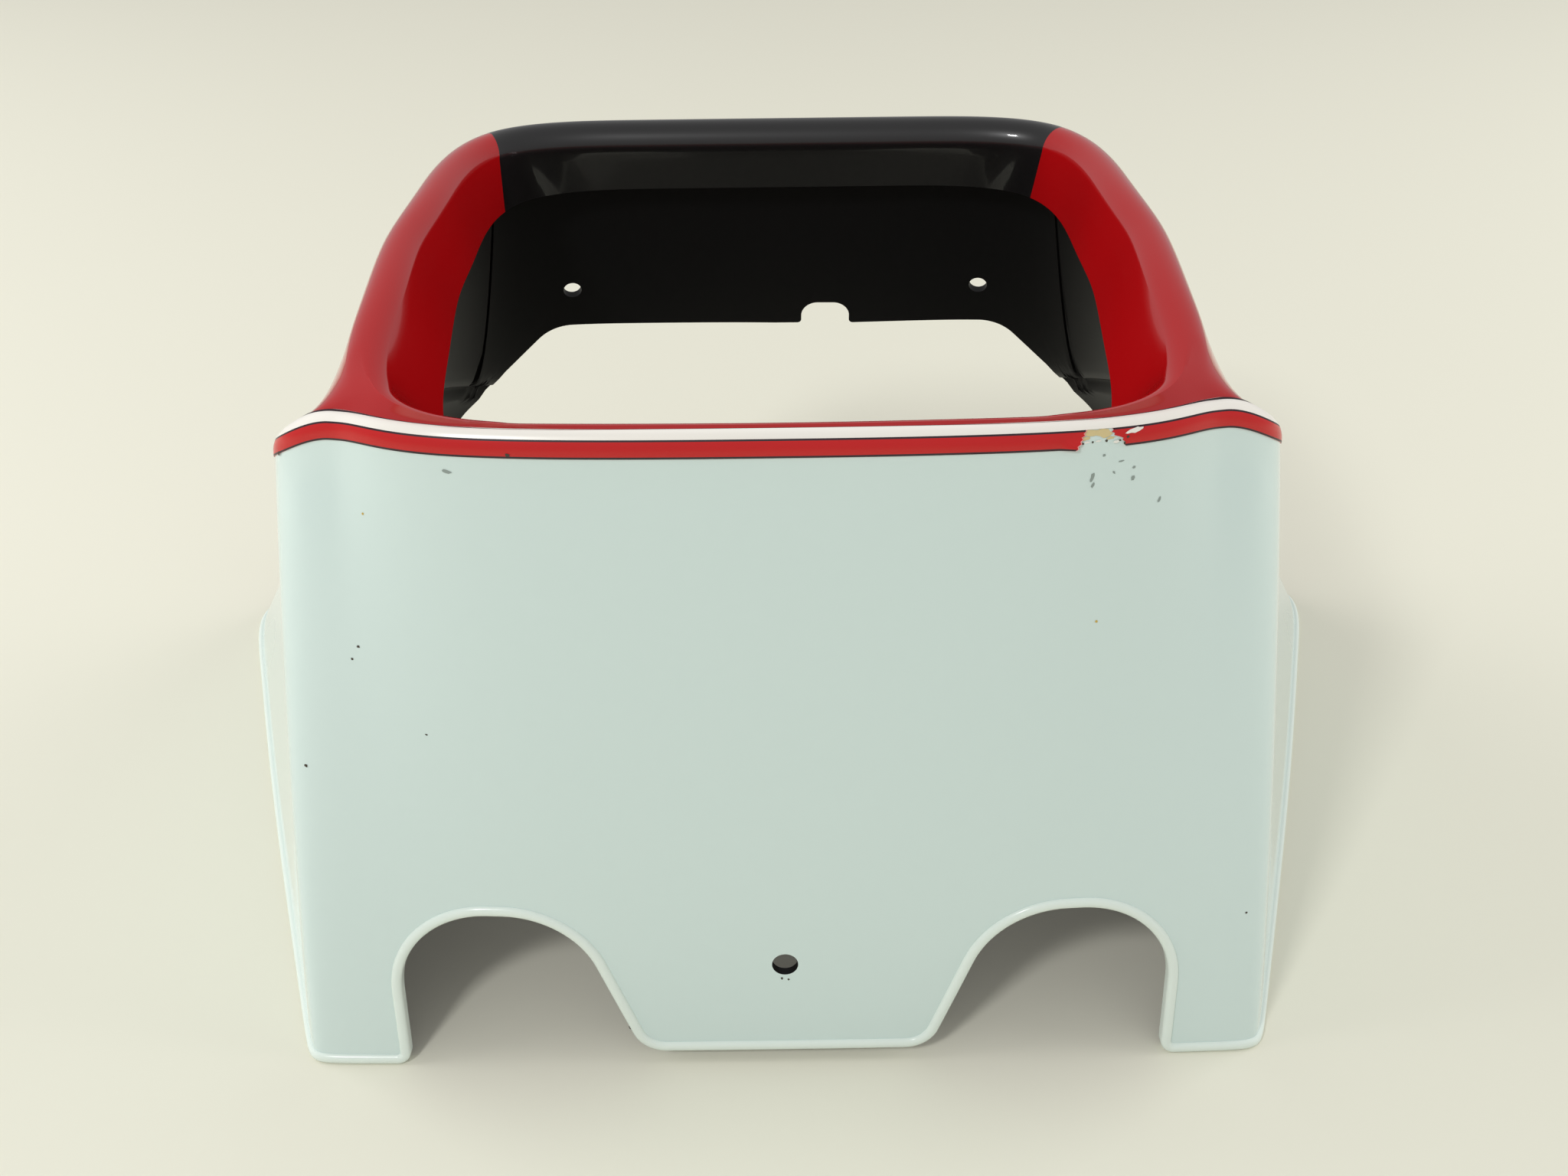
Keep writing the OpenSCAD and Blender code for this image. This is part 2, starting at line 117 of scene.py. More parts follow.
def on_ring(points, station):
    """Points of the closed cubic spline that a ring's points control, at any station."""
    station = np.asarray(station, float) % STATIONS
    first = np.floor(station).astype(int)
    share = (station - first)[..., None]
    near = [points[(first + offset - 1) % STATIONS] for offset in range(4)]
    return ((1 - share) ** 3 * near[0] + (3 * share ** 3 - 6 * share ** 2 + 4) * near[1]
            + (1 + 3 * share + 3 * share ** 2 - 3 * share ** 3) * near[2] + share ** 3 * near[3]) / 6


SLOPE_STEP = 0.02


def across(points, station):
    """Directions in plan that point out of a ring, square to it."""
    along = on_ring(points, station + SLOPE_STEP) - on_ring(points, station - SLOPE_STEP)
    along /= np.linalg.norm(along, axis=-1, keepdims=True)
    return np.stack([along[..., 1], -along[..., 0]], -1)


BASE_RING = ring(BASE_FRONT_HALF, BASE_REAR_HALF, BASE_FRONT_Y, BASE_REAR_Y, bow=2, front_corner=9,
                 rear_corner=46, side_bow=2, rear_bow=4, shape=(0.42, 0.16, 0.36))
SHOULDER_RING = ring(SHOULDER_FRONT_HALF, SHOULDER_REAR_HALF, SHOULDER_FRONT_Y,
                     SHOULDER_FRONT_Y + SHOULDER_DEPTH, bow=21.6, front_corner=25.2, rear_corner=77.4,
                     side_bow=4.2, rear_bow=14, shape=(0.719, 0.058, 0.1))
RIM_RING = ring(RIM_FRONT_HALF, RIM_REAR_HALF, RIM_FRONT_Y, RIM_REAR_Y, bow=5.74, front_corner=49.9,
                rear_corner=56.5, side_bow=3.3, rear_bow=0, shape=(0.657, 0.237, 0.773))
FLANGE_RING = ring(FLANGE_FRONT_HALF, FLANGE_REAR_HALF, FLANGE_FRONT_Y, FLANGE_REAR_Y, bow=5.8,
                   front_corner=42.9, rear_corner=58.2, side_bow=2.9, rear_bow=0, shape=(0.42, 0.16, 0.36))


def smooth(share):
    """Rises from 0 to 1, level at both ends."""
    share = np.clip(share, 0, 1)
    return share * share * (3 - 2 * share)


def rim_z(y):
    """Height of the rim's crest, which climbs towards the rear."""
    return RIM_HEIGHT - (RIM_HEIGHT - RIM_FRONT_HEIGHT) * np.abs((RIM_REAR_Y - y) / RIM_DEPTH) ** RIM_CLIMB


def shoulder_z(plan, station):
    """Height of the shoulder, which falls towards the rear and drops at the front corners."""
    back = plan[..., 1] - SHOULDER_FRONT_Y - FALL_START
    soft = (back + np.hypot(back, FALL_SOFTNESS)) / 2
    right = station % STATIONS
    right = np.minimum(right, STATIONS - right)
    faded = CORNER_FADE * smooth((right - FADE_START) / (FADE_END - FADE_START))
    turned = smooth((right - CORNER_START) / (CORNER_END - CORNER_START)) * (1 - faded)
    return SHOULDER_HEIGHT - SHOULDER_FALL * soft - CORNER_FALL * turned


# Stations of the rim and of the flange that face each station of the shoulder
SHELL_KNOTS = np.array([0, 0.5, 1, 1.5, 2, 2.5, 3, 3.5, 4, 5, 6, 7, 8, 9])
RIM_KNOTS = np.array([0, 0.85, 1.95, 2.65, 3.0, 3.2, 3.38, 3.6, 3.98, 5.15, 6.15, 7.02, 7.95, 9])
FLANGE_KNOTS = np.array([0, 1.1, 2.25, 2.9, 3.17, 3.31, 3.42, 3.6, 3.96, 5.15, 6.18, 6.96, 7.8, 9])
KNOT_BLUR, BLUR_SAMPLES = 0.35, 15


def facing(station, knots):
    """Station of another ring, from a table that is mirrored at both ends and smoothed."""
    station = np.asarray(station, float) % STATIONS
    left = station > HALF
    right = np.where(left, STATIONS - station, station)
    along = np.concatenate([-SHELL_KNOTS[:0:-1], SHELL_KNOTS, STATIONS - SHELL_KNOTS[-2::-1]])
    there = np.concatenate([-knots[:0:-1], knots, STATIONS - knots[-2::-1]])
    shifts = np.linspace(-KNOT_BLUR, KNOT_BLUR, BLUR_SAMPLES)
    smoothed = sum(np.interp(right + shift, along, there) for shift in shifts) / BLUR_SAMPLES
    return np.where(left, STATIONS - smoothed, smoothed)


def section(station):
    """The rings, heights and directions that every level of the section needs."""
    station = np.asarray(station, float)
    on_rim = facing(station, RIM_KNOTS)
    crest, shoulder = on_ring(RIM_RING, on_rim), on_ring(SHOULDER_RING, station)
    top = rim_z(crest[..., 1])
    rolled = smooth((top - RIM_FRONT_HEIGHT) / FULL_ROLL_RISE)
    return {"crest": crest, "shoulder": shoulder,
            "flange": on_ring(FLANGE_RING, facing(station, FLANGE_KNOTS)),
            "base": on_ring(BASE_RING, station),
            "roll": RIM_ROUND * (FRONT_ROLL + (1 - FRONT_ROLL) * rolled),
            "out": across(SHOULDER_RING, station), "rim_out": across(RIM_RING, on_rim),
            "top": top, "edge": shoulder_z(shoulder, station)}


def xyz(plan, z):
    return np.concatenate([plan, z[..., None]], -1)


def wall_point(cut, share):
    """The bowed wall, from the floor up to the foot of the shoulder round."""
    foot = cut["shoulder"] + cut["out"] * ROUND_WIDTH
    bowed = (share - BELLY * share * (1 - share))[..., None]
    return xyz(foot * bowed + cut["base"] * (1 - bowed), (cut["edge"] - ROUND_HEIGHT) * share)


def round_point(cut, share):
    """The shoulder round, a quarter of an ellipse."""
    turn = math.pi / 2 * (1 - share)
    plan = cut["shoulder"] + cut["out"] * (ROUND_WIDTH * np.sin(turn))[..., None]
    return xyz(plan, cut["edge"] - ROUND_HEIGHT * (1 - np.cos(turn)))


def neck_roll(cut):
    """Reach and drop of the neck, and how far its crest rolls over before the slope begins."""
    reach = np.linalg.norm(cut["shoulder"] - cut["crest"], axis=-1)
    drop = cut["top"] - cut["edge"]
    roll = np.minimum(cut["roll"], np.maximum(0, np.minimum(reach, drop)) / 2)
    turn = np.arctan2(np.maximum(drop - roll, 1e-6), (1 - NECK_HOLLOW) * np.maximum(reach - roll, 1e-6))
    return reach, drop, roll, turn


def neck_point(cut, share):
    """The hollow neck, from the shoulder up to the rolled crest. A low neck is straight."""
    reach, drop, roll, end = neck_roll(cut)
    down = 1 - share
    turn = end * np.minimum(1, down / ROLL_SHARE)
    start_out, start_fall = roll * np.sin(end), roll * (1 - np.cos(end))
    rest = math.pi / 2 * np.maximum(0, (down - ROLL_SHARE) / (1 - ROLL_SHARE))
    hollow = NECK_HOLLOW * (1 - np.cos(rest)) + (1 - NECK_HOLLOW) * np.sin(rest)
    rolling = down < ROLL_SHARE
    out = np.where(rolling, roll * np.sin(turn), start_out + (reach - start_out) * hollow)
    fall = np.where(rolling, roll * (1 - np.cos(turn)), start_fall + (drop - start_fall) * np.sin(rest))
    curved = smooth((drop - STRAIGHT_DROP) / (CURVED_DROP - STRAIGHT_DROP))
    out = out * curved + reach * down * (1 - curved)
    fall = fall * curved + drop * down * (1 - curved)
    return xyz(cut["crest"] + (cut["shoulder"] - cut["crest"]) * (out / reach)[..., None], cut["top"] - fall)


def flange_point(cut, share):
    """The inner flange, from the crest down: the roll first, then a straight fall."""
    inward = -cut["rim_out"]
    run = cut["flange"] - cut["crest"]
    reach = (run * inward).sum(-1)
    roll = cut["roll"]
    low = FLANGE_DROP - roll
    tangent = np.arctan2(low, reach) + np.arcsin(roll / np.hypot(reach, low))
    start_in, start_fall = roll * np.sin(tangent), roll * (1 - np.cos(tangent))
    turn = tangent * np.minimum(1, share * 2)
    straight = np.maximum(0, share * 2 - 1)
    go = np.where(share < 0.5, roll * np.sin(turn), start_in + (reach - start_in) * straight)
    fall = np.where(share < 0.5, roll * (1 - np.cos(turn)),
                    start_fall + (FLANGE_DROP - start_fall) * straight)
    sideways = (run - inward * reach[..., None]) * straight[..., None]
    return xyz(cut["crest"] + inward * go[..., None] + sideways, cut["top"] - fall)


def skin(station, level):
    """Points of the skin. Levels: 0 floor, 1 foot of the round, 2 shoulder, 3 crest, 4 flange's edge."""
    station, level = np.broadcast_arrays(np.asarray(station, float), np.asarray(level, float))
    cut = section(station)
    within = np.clip(level - np.array([0, 1, 2, 3]).reshape((4,) + (1,) * level.ndim), 0, 1)
    parts = (wall_point(cut, within[0]), round_point(cut, within[1]),
             neck_point(cut, within[2]), flange_point(cut, within[3]))
    which = np.clip(np.ceil(level).astype(int) - 1, 0, 3)[..., None]
    return np.choose(which, parts)


def level_at(station, z):
    """Level at which the section reaches a height, up to the rolled crest."""
    station, z = np.broadcast_arrays(np.asarray(station, float), np.asarray(z, float))
    cut = section(station)
    edge, foot = cut["edge"], cut["edge"] - ROUND_HEIGHT
    roll, end = neck_roll(cut)[2:]
    roll_foot = cut["top"] - roll * (1 - np.cos(end))
    on_round = 2 - np.arccos(np.clip(1 - (edge - z) / ROUND_HEIGHT, -1, 1)) / (math.pi / 2)
    on_neck = np.arcsin(np.clip((roll_foot - z) / (roll_foot - edge), -1, 1)) / (math.pi / 2)
    on_neck = 3 - ROLL_SHARE - (1 - ROLL_SHARE) * on_neck
    return np.where(z <= foot, z / foot, np.where(z <= edge, on_round, on_neck))


def skin_normal(station, level, step=0.004):
    low, high = np.maximum(0, level - step), np.minimum(4, level + step)
    normal = np.cross(skin(station + step, level) - skin(station - step, level),
                      skin(station, high) - skin(station, low))
    return normal / np.linalg.norm(normal, axis=-1, keepdims=True)


def point_at(station, z):
    return skin(station, level_at(station, z))


TURN_STEP = math.radians(4)


def rounded(path):
    """A path of [x, z, corner radius] as points, with an arc at each corner that has a radius."""
    points = []
    for corner, (x, z, radius) in enumerate(path):
        here = np.array([x, z], float)
        if radius == 0:
            points.append(here)
            continue
        back = np.array(path[corner - 1][:2], float) - here
        ahead = np.array(path[corner + 1][:2], float) - here
        back /= np.hypot(*back)
        ahead /= np.hypot(*ahead)
        half_angle = math.acos(np.clip(back @ ahead, -1, 1)) / 2
        middle = here + (back + ahead) / np.hypot(*(back + ahead)) * radius / math.sin(half_angle)
        start = here + back * radius / math.tan(half_angle) - middle
        end = here + ahead * radius / math.tan(half_angle) - middle
        sweep = math.pi - 2 * half_angle
        steps = max(3, math.ceil(sweep / TURN_STEP))
        for step in range(steps + 1):
            points.append(middle + (start * math.sin(sweep * (1 - step / steps))
                                    + end * math.sin(sweep * step / steps)) / math.sin(sweep))
    return np.array(points)


def divided(path, longest):
    """The same path with no step longer than that."""
    points = []
    for start, end in zip(path[:-1], path[1:]):
        pieces = max(1, math.ceil(np.hypot(*(end - start)) / longest))
        points += [start + (end - start) * piece / pieces for piece in range(pieces)]
    return np.array(points + [path[-1]])


def shares(path):
    """How far along a path each point lies, from 0 to 1, with height counting a quarter."""
    step = np.diff(path, axis=0) * [1, 0.25]
    walk = np.concatenate([[0], np.cumsum(np.linalg.norm(step, axis=1))])
    return walk / walk[-1]


BISECTIONS = 40
FRONT_SEARCH, REAR_SEARCH = (0, 3.4), (HALF, 6.2)


def stations_of(x, z, search):
    """Station of points given by distance to the middle plane and height, by bisection."""
    low = np.full(len(x), search[0], float)
    high = np.full(len(x), search[1], float)
    for _ in range(BISECTIONS):
        middle = (low + high) / 2
        beyond = point_at(middle, z)[:, 0] > x
        high = np.where(beyond, middle, high)
        low = np.where(beyond, low, middle)
    return (low + high) / 2


def station_of(x, z, search):
    return float(stations_of(np.array([x]), np.array([z]), search)[0])


# Free edges of the right half, as [distance from the middle plane, height, corner radius]
FRONT_STEP, REAR_STEP, REAR_RUN = 3, 4, 12
ARCH_IN = TONGUE_HALF + (ARCH_HEIGHT - TONGUE_GAP) * math.tan(math.radians(TONGUE_FLARE))
FRONT_EDGE = divided(rounded([
    (0, TONGUE_GAP, 0),
    (TONGUE_HALF, TONGUE_GAP, TONGUE_ROUND),
    (ARCH_IN, ARCH_HEIGHT, ARCH_ROUND),
    (LEG_IN, ARCH_HEIGHT, ARCH_ROUND),
    (LEG_IN, 0, LEG_ROUND),
    (LEG_IN + LEG_ROUND + 1, 0, 0)]), FRONT_STEP)


def rear_edge(notched):
    right, left = NOTCH_OFFSET + NOTCH_WIDTH / 2, NOTCH_OFFSET - NOTCH_WIDTH / 2
    top = REAR_EDGE_HEIGHT + NOTCH_DEPTH
    notch = [
        (right, REAR_EDGE_HEIGHT, NOTCH_MOUTH_ROUND),
        (right, top, NOTCH_ROUND),
        (left, top, NOTCH_ROUND),
        (left, REAR_EDGE_HEIGHT, NOTCH_MOUTH_ROUND)]
    return divided(rounded([
        (REAR_FOOT + REAR_RUN, 0, 0),
        (REAR_FOOT, 0, REAR_FOOT_ROUND),
        (*REAR_LEG, REAR_LEG_ROUND),
        (*REAR_WAIST, REAR_WAIST_ROUND),
        (*REAR_KINK, REAR_KINK_ROUND),
        (REAR_EDGE_HALF, REAR_EDGE_HEIGHT + EDGE_RISE, EDGE_ROUND)]
        + (notch if notched else []) + [(0, REAR_EDGE_HEIGHT, 0)]), REAR_STEP)


# Columns of the skin run from the flange's edge down to the free edge. Those of the side start at
# the top no further round than this station.
SIDE_TOP, SIDE_PIECES, LIP_FADE = 6.3, 90, 20.0
BASE_WALK_STATIONS = np.linspace(0, HALF, 901)
BASE_WALK = np.concatenate([[0], np.cumsum(np.linalg.norm(
    np.diff(on_ring(BASE_RING, BASE_WALK_STATIONS), axis=0), axis=1))])


def front_columns():
    """Columns as [station at the free edge, its height, station at the top, share of the lip]."""
    stations = stations_of(FRONT_EDGE[:, 0], FRONT_EDGE[:, 1], FRONT_SEARCH)
    end = np.interp(stations[-1], BASE_WALK_STATIONS, BASE_WALK)
    above = np.interp(end * shares(FRONT_EDGE), BASE_WALK, BASE_WALK_STATIONS)
    return np.column_stack([stations, FRONT_EDGE[:, 1], above, np.ones(len(above))])


def rear_columns(notched):
    edge = rear_edge(notched)
    part = shares(edge)
    kink_part = part[np.argmax(edge[:, 1] > REAR_KINK[1] - 1)]
    kink_station = station_of(*REAR_KINK, REAR_SEARCH)
    above = np.interp(part, [0, kink_part, 1], [SIDE_TOP, kink_station, HALF])
    lip = np.clip((edge[:, 0] - REAR_EDGE_HALF) / LIP_FADE, 0, 1)
    return np.column_stack([stations_of(edge[:, 0], edge[:, 1], REAR_SEARCH), edge[:, 1], above, lip])


def half_columns(notched):
    front, rear = front_columns(), rear_columns(notched)
    part = np.arange(1, SIDE_PIECES) / SIDE_PIECES
    start, end = front[-1][0], rear[0][0]
    side = np.column_stack([start + (end - start) * part, 0 * part,
                            start + (SIDE_TOP - start) * part, 1 + 0 * part])
    return np.vstack([front, side, rear])


def all_columns():
    right, left = half_columns(True), half_columns(False)
    left = left[-2:0:-1].copy()
    left[:, 0] = STATIONS - left[:, 0]
    left[:, 2] = STATIONS - left[:, 2]
    return np.vstack([right, left])


FLANGE_ROWS = np.concatenate([np.linspace(4, 3.5, 6), np.linspace(3.5, 3, 9)[1:]])
NECK_ROWS = np.concatenate([np.linspace(3, 2.7, 8)[1:], np.linspace(2.7, 2, 11)[1:]])
ROUND_ROWS = np.linspace(2, 1, 9)[1:]
UPPER = np.concatenate([FLANGE_ROWS, NECK_ROWS, ROUND_ROWS])
WALL_ROWS, WALL_MARGIN = 16, 6
LIP_SHARES = (1 + np.cos(np.linspace(0, math.pi, 10))) / 2
NARROWEST_LIP = 0.3
STATION_STEP, HEIGHT_STEP = 0.01, 0.5


def dot(one, other):
    return (one * other).sum(1)


def inward_steps(station, height):
    """One millimetre from the free edge into the skin, as a step in station and one in height."""
    here = point_at(station, height)
    run = np.roll(here, -1, axis=0) - np.roll(here, 1, axis=0)
    inward = np.cross(skin_normal(station, level_at(station, height)), run)
    inward /= np.linalg.norm(inward, axis=1, keepdims=True)
    behind, ahead = point_at(station - STATION_STEP, height), point_at(station + STATION_STEP, height)
    sideways = (ahead - behind) / (2 * STATION_STEP)
    upward = (point_at(station, height + HEIGHT_STEP) - here) / HEIGHT_STEP
    side_square, up_square, mixed = dot(sideways, sideways), dot(upward, upward), dot(sideways, upward)
    side_part, up_part = dot(inward, sideways), dot(inward, upward)
    whole = side_square * up_square - mixed * mixed
    return np.column_stack([(up_square * side_part - mixed * up_part) / whole,
                            (side_square * up_part - mixed * side_part) / whole])


def build_grid(columns):
    """Stations, levels and the lip's rise of all points of the skin, as arrays [column, row]."""
    station, height, top, lip = columns.T
    go = inward_steps(station, height)
    reach = LIP_WIDTH * np.maximum(NARROWEST_LIP, lip)
    foot = section(top)["edge"] - ROUND_HEIGHT
    top_height = np.maximum(foot, np.minimum(height, REAR_EDGE_HEIGHT) + NOTCH_DEPTH + WALL_MARGIN)
    top_level = np.where(top_height > foot, level_at(top, top_height), 1)
    start = np.column_stack([top, top_height])
    edge = np.column_stack([station, height])
    end = edge + go * reach[:, None]
    stations, levels, rise = [], [], []
    for level in UPPER:
        stations.append(top)
        levels.append(np.full(len(top), level) if level > 3 else 3 - (3 - level) * (3 - top_level) / 2)
        rise.append(0 * top)
    for row in range(1, WALL_ROWS):
        place = start + (end - start) * row / WALL_ROWS
        stations.append(place[:, 0])
        levels.append(level_at(place[:, 0], place[:, 1]))
        rise.append(0 * top)
    for share in LIP_SHARES:
        place = edge + go * (reach * share)[:, None]
        stations.append(place[:, 0])
        levels.append(np.maximum(0, level_at(place[:, 0], np.maximum(0, place[:, 1]))))
        rise.append(LIP_HEIGHT * lip * math.sqrt(max(0, 1 - (2 * share - 1) ** 2)))
    return np.array(stations).T, np.array(levels).T, np.array(rise).T


COLUMNS = all_columns()
STATION, LEVEL, RISE = build_grid(COLUMNS)
COUNT, ROWS = STATION.shape


def placed(points):
    """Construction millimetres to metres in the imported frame."""
    return (np.asarray(points) - [0, MIDDLE_Y, 0]) / 1000


def on_floor(points):
    points = points.copy()
    points[..., 2] = np.maximum(0, points[..., 2])
    return points


def quads(rows, columns, flip=False, start=0, closed=True):
    """Quads of a grid stored column by column."""
    faces = []
    for column in range(columns if closed else columns - 1):
        here, there = start + column * rows, start + (column + 1) % columns * rows
        for row in range(rows - 1):
            face = (here + row, here + row + 1, there + row + 1, there + row)
            faces.append(face[::-1] if flip else face)
    return faces


def mesh_object(name, points, faces, materials, slots=None):
    mesh = bpy.data.meshes.new(name)
    mesh.from_pydata([tuple(point) for point in points], [], faces)
    for finish in materials:
        mesh.materials.append(finish)
    if slots is not None:
        mesh.polygons.foreach_set("material_index", slots)
    mesh.polygons.foreach_set("use_smooth", [True] * len(mesh.polygons))
    mesh.update()
    obj = bpy.data.objects.new(name, mesh)
    bpy.context.scene.collection.objects.link(obj)
    return obj


# The camera of the photograph. Its eye, in millimetres, is turned round a point on the floor.
CAMERA_YAW, CAMERA_PITCH, CAMERA_ROLL = -0.3, 34.4, 0.62
CAMERA_EYE, CAMERA_PIVOT_Y = (0.9, -369.0, 430.7), 4.3
FOCAL_PIXELS, PICTURE_WIDTH_PIXELS, SENSOR_WIDTH = 2250.0, 2048.0, 36.0


def add_camera():
    data = bpy.data.cameras.new("camera")
    data.sensor_width = SENSOR_WIDTH
    data.lens = FOCAL_PIXELS / PICTURE_WIDTH_PIXELS * SENSOR_WIDTH
    data.clip_start = 0.01
    data.clip_end = 50
    camera = bpy.data.objects.new("camera", data)
    bpy.context.scene.collection.objects.link(camera)
    yaw = Matrix.Rotation(math.radians(CAMERA_YAW), 4, "Z")
    eye = yaw @ Vector(CAMERA_EYE) + Vector((0, CAMERA_PIVOT_Y - MIDDLE_Y, 0))
    camera.matrix_world = (Matrix.Translation(eye / 1000) @ yaw
                           @ Matrix.Rotation(math.radians(90 - CAMERA_PITCH), 4, "X")
                           @ Matrix.Rotation(math.radians(-CAMERA_ROLL), 4, "Z"))
    bpy.context.scene.camera = camera


add_camera()


def linear(*rgb):
    """The linear colour that a shader takes, from one as a screen shows it, 0 to 255."""
    shown = [value / 255 for value in rgb]
    return tuple(value / 12.92 if value <= 0.04045 else ((value + 0.055) / 1.055) ** 2.4 for value in shown)


def material(name, color, roughness, coat=0.0, coat_roughness=0.05, specular=0.5):
    finish = bpy.data.materials.new(name)
    finish.use_nodes = True
    shader = finish.node_tree.nodes["Principled BSDF"]
    shader.inputs["Base Color"].default_value = (*color, 1)
    shader.inputs["Roughness"].default_value = roughness
    shader.inputs["Coat Weight"].default_value = coat
    shader.inputs["Coat Roughness"].default_value = coat_roughness
    shader.inputs["Specular IOR Level"].default_value = specular
    return finish


PANEL_COLOR, PANEL_ROUGHNESS = linear(206, 223, 219), 0.14
# Attribute, colour and roughness of what is painted over the white, in that order
OVERPAINT = [("neck", linear(168, 12, 16), 0.12), ("rear", linear(14, 13, 14), 0.36)]
# Sockets of a Mix node: first input, second input, result
MIX_SOCKETS = {"FLOAT": (2, 3, 0), "RGBA": (6, 7, 2)}


def overlaid(tree, kind, inside, before, after):
    """Gives after where inside is 1, and before elsewhere, which is a constant or an output."""
    mix = tree.nodes.new("ShaderNodeMix")
    mix.data_type = kind
    first, second, result = MIX_SOCKETS[kind]
    tree.links.new(inside, mix.inputs[0])
    if isinstance(before, bpy.types.NodeSocket):
        tree.links.new(before, mix.inputs[first])
    else:
        mix.inputs[first].default_value = before
    mix.inputs[second].default_value = after
    return mix.outputs[result]


def outer_paint():
    """White, with a colour over it wherever the attribute of its name is above zero."""
    paint = material("outer_paint", PANEL_COLOR, PANEL_ROUGHNESS, 0.5, 0.06)
    tree = paint.node_tree
    shader = tree.nodes["Principled BSDF"]
    color, roughness = (*PANEL_COLOR, 1), PANEL_ROUGHNESS
    for name, over_color, over_roughness in OVERPAINT:
        place = tree.nodes.new("ShaderNodeAttribute")
        place.attribute_name = name
        inside = tree.nodes.new("ShaderNodeMath")
        inside.operation = "GREATER_THAN"
        inside.inputs[1].default_value = 0
        tree.links.new(place.outputs["Fac"], inside.inputs[0])
        color = overlaid(tree, "RGBA", inside.outputs[0], color, (*over_color, 1))
        roughness = overlaid(tree, "FLOAT", inside.outputs[0], roughness, over_roughness)
    tree.links.new(color, shader.inputs["Base Color"])
    tree.links.new(roughness, shader.inputs["Roughness"])
    return paint


PAINT = outer_paint()
BLACK = material("black_inside", linear(11, 10, 11), 0.5, specular=0.25)
# The rolled lip gets a lighter copy of the panel white: a painted highlight where the bead catches the
# light, not a paint of its own
LIP_HIGHLIGHT = material("lip_painted_highlight", linear(222, 233, 225), 0.2)
WHITE_TAPE = material("white_tape", linear(234, 230, 222), 0.25)
RED_TAPE = material("red_tape", linear(190, 16, 18), 0.25)
DARK_LINE = material("tape_line", linear(40, 20, 30), 0.4)
RESIDUE = material("residue", linear(206, 188, 138), 0.7)
SCUFF = material("scuff", linear(140, 152, 146), 0.5)
TORN_EDGE = material("torn_edge", linear(226, 150, 146), 0.6)
DIRT = material("dirt", linear(70, 62, 52), 0.8)
SPECK = material("speck", linear(196, 168, 84), 0.7)

# The wall thins inside the front's low crest, where there is no room for two full walls
THINNING, LOW_CREST, THIN_TOP, THIN_REACH = 0.86, 16, 1.25, 0.9
# Stations between which the skin is black at the rear, by level, right and left
BLACK_LEVELS = [0.0, 2.0, 3.0, 4.0]
RIGHT_BLACK = [6.9, 6.9, 6.89, 6.94]
LEFT_BLACK = [11.07, 11.07, 11.07, 11.27]
OUTER_SLOT, INSIDE_SLOT, LIP_SLOT = 0, 1, 2
SHOWN_LIP = 0.1
SHARP_ANGLE = math.radians(40)


def shell_points():
    """The outer skin with its raised lip, then the inner skin, a wall further in."""
    points, normals = skin(STATION, LEVEL), skin_normal(STATION, LEVEL)
    low_crest = 1 - smooth((section(STATION)["top"] - RIM_FRONT_HEIGHT) / LOW_CREST)
    thinned = THINNING * low_crest * np.clip(THIN_TOP - np.abs(LEVEL - 3) / THIN_REACH, 0, 1)
    outer = on_floor(points + normals * RISE[..., None])
    inner = on_floor(points - normals * (WALL * (1 - thinned))[..., None])
    return np.vstack([placed(outer).reshape(-1, 3), placed(inner).reshape(-1, 3)])


def edge_faces():
    """Two faces for each column, which close the flange's edge and the free edge."""
    faces = []
    for column in range(COUNT):
        here, there = column * ROWS, (column + 1) % COUNT * ROWS
        inner_here, inner_there = ROWS * COUNT + here, ROWS * COUNT + there
        last = ROWS - 1
        faces.append((here, there, inner_there, inner_here))
        faces.append((here + last, inner_here + last, inner_there + last, there + last))
    return faces


def shell_slots():
    """Material slot of each face: outer skin, inner skin, edges."""
    # Faces of the raised lip take the lighter white of the painted highlight, except where the rear is black
    lip = (np.arange(ROWS - 1)[None, :] >= ROWS - len(LIP_SHARES)) & (COLUMNS[:, 3] > SHOWN_LIP)[:, None]
    lip &= ((STATION[:, -1] < RIGHT_BLACK[0]) | (STATION[:, -1] > LEFT_BLACK[0]))[:, None]
    edges = np.full((COUNT, 2), INSIDE_SLOT)
    edges[:, 1] = np.where(lip[:, -1], LIP_SLOT, INSIDE_SLOT)
    return np.concatenate([np.where(lip, LIP_SLOT, OUTER_SLOT).reshape(-1),
                           np.full(lip.size, INSIDE_SLOT), edges.reshape(-1)])


shell = mesh_object("shell", shell_points(),
                    quads(ROWS, COUNT) + quads(ROWS, COUNT, True, ROWS * COUNT) + edge_faces(),
                    [PAINT, BLACK, LIP_HIGHLIGHT], shell_slots())
rear_share = np.minimum(STATION - np.interp(LEVEL, BLACK_LEVELS, RIGHT_BLACK),
                        np.interp(LEVEL, BLACK_LEVELS, LEFT_BLACK) - STATION)
for name, values in (("neck", LEVEL - 2), ("rear", rear_share)):
    attribute = shell.data.attributes.new(name, "FLOAT", "POINT")
    attribute.data.foreach_set("value", np.concatenate([values.reshape(-1), values.reshape(-1)]))

HOLE_SIDES, HOLE_DEPTH = 64, 3 * WALL


